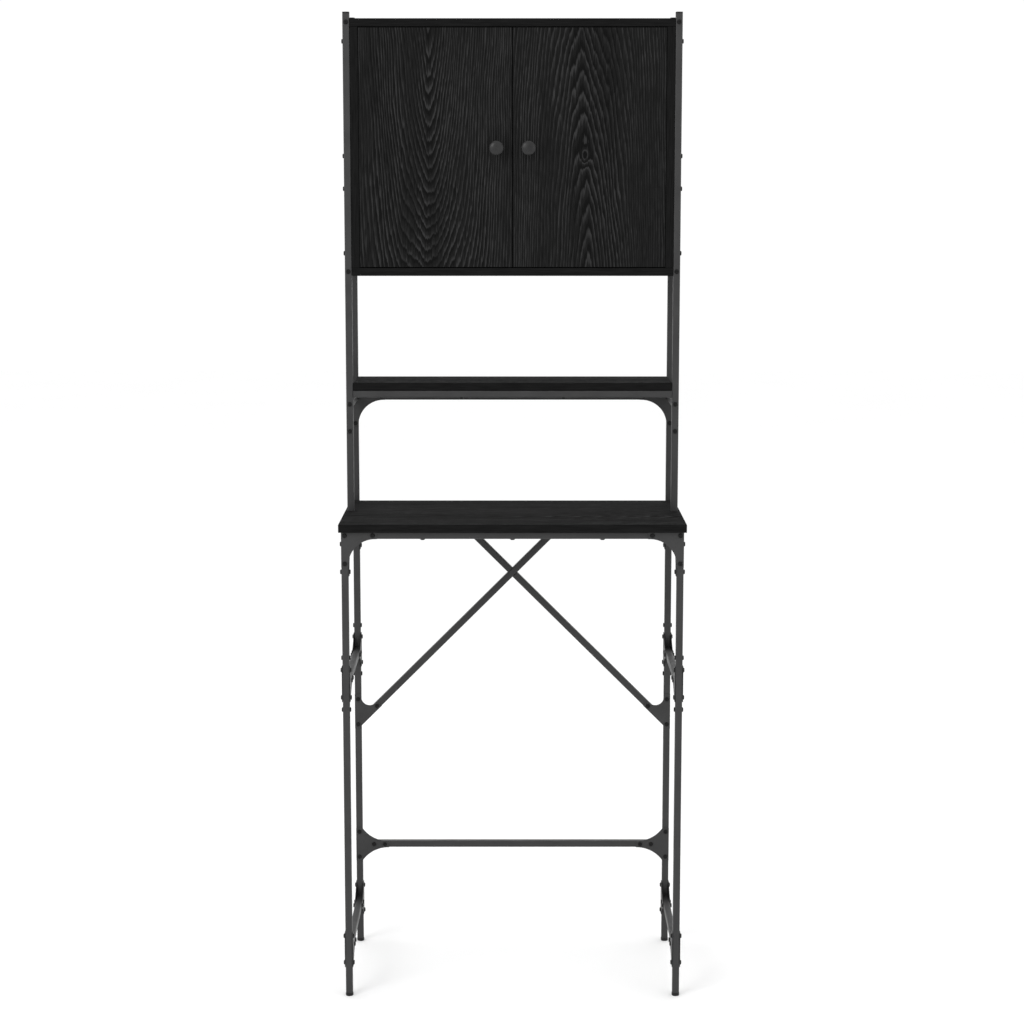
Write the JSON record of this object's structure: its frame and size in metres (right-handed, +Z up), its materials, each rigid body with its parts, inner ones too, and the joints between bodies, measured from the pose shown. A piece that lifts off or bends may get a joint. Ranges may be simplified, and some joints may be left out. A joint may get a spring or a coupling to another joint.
{
  "type": "over the toilet storage rack",
  "caption": "Tall free-standing bathroom rack of bolted square tube that straddles a toilet, with a wide shelf, a middle shelf and a two-door cabinet on top.",
  "frame": {"origin": "on the floor, at the middle of the footprint", "axes": "+X to the right seen from the front, +Y to the back, towards the wall, +Z up"},
  "size_m": [0.645, 0.33, 1.8517],
  "materials": {
    "powder_coat": "charcoal powder coat, satin, fine orange-peel texture",
    "black_oak": "black oak decor on particle board, matt, with an embossed vertical or lengthwise grain",
    "knob_metal": "dark metal knob, satin",
    "foot_plastic": "black moulded plastic, matt",
    "hinge_steel": "nickel-plated steel",
    "backing_board": "thin black fibreboard, matt"
  },
  "bodies": {
    "frame": {"left_front_leg": "powder_coat", "left_rear_post": "powder_coat", "left_hutch_post": "powder_coat", "left_low_side_rail": "powder_coat", "left_mid_side_rail": "powder_coat", "left_shelf_side_rail": "powder_coat", "left_hutch_side_rail": "powder_coat", "left_cabinet_lower_side_rail": "powder_coat", "left_cabinet_upper_side_rail": "powder_coat", "left_brace": "powder_coat", "left_brace_gusset": "powder_coat", "left_crossbar_gusset": "powder_coat", "left_front_corner_gusset": "powder_coat", "left_hutch_corner_gusset": "powder_coat", "left_front_low_gusset_pair": "powder_coat", "left_rear_low_gusset_pair": "powder_coat", "left_front_mid_gusset_pair": "powder_coat", "left_rear_mid_gusset_pair": "powder_coat", "left_front_foot": "foot_plastic", "left_rear_foot": "foot_plastic", "left_lower_hinge_arm": "hinge_steel", "left_upper_hinge_arm": "hinge_steel", "right_front_leg": "powder_coat", "right_rear_post": "powder_coat", "right_hutch_post": "powder_coat", "right_low_side_rail": "powder_coat", "right_mid_side_rail": "powder_coat", "right_shelf_side_rail": "powder_coat", "right_hutch_side_rail": "powder_coat", "right_cabinet_lower_side_rail": "powder_coat", "right_cabinet_upper_side_rail": "powder_coat", "right_brace": "powder_coat", "right_brace_gusset": "powder_coat", "right_crossbar_gusset": "powder_coat", "right_front_corner_gusset": "powder_coat", "right_hutch_corner_gusset": "powder_coat", "right_front_low_gusset_pair": "powder_coat", "right_rear_low_gusset_pair": "powder_coat", "right_front_mid_gusset_pair": "powder_coat", "right_rear_mid_gusset_pair": "powder_coat", "right_front_foot": "foot_plastic", "right_rear_foot": "foot_plastic", "right_lower_hinge_arm": "hinge_steel", "right_upper_hinge_arm": "hinge_steel", "front_shelf_rail": "powder_coat", "rear_shelf_rail": "powder_coat", "hutch_front_rail": "powder_coat", "hutch_rear_rail": "powder_coat", "rear_crossbar": "powder_coat", "wide_shelf": "black_oak", "middle_shelf": "black_oak", "cabinet_top": "black_oak", "cabinet_bottom": "black_oak", "cabinet_left_side": "black_oak", "cabinet_right_side": "black_oak", "cabinet_back": "backing_board"},
    "left_door_leaf": {"left_door": "black_oak", "left_knob": "knob_metal"},
    "right_door_leaf": {"right_door": "black_oak", "right_knob": "knob_metal"}
  },
  "joints": [
    {"name": "left_door_hinge", "type": "hinge", "parent": "frame", "child": "left_door_leaf", "pos_m": [-0.2891, 0.0078, 1.603], "axis": [0, 0, -1], "range_deg": [0, 105]},
    {"name": "right_door_hinge", "type": "hinge", "parent": "frame", "child": "right_door_leaf", "pos_m": [0.2891, 0.0078, 1.603], "axis": [0, 0, 1], "range_deg": [0, 105]}
  ]
}
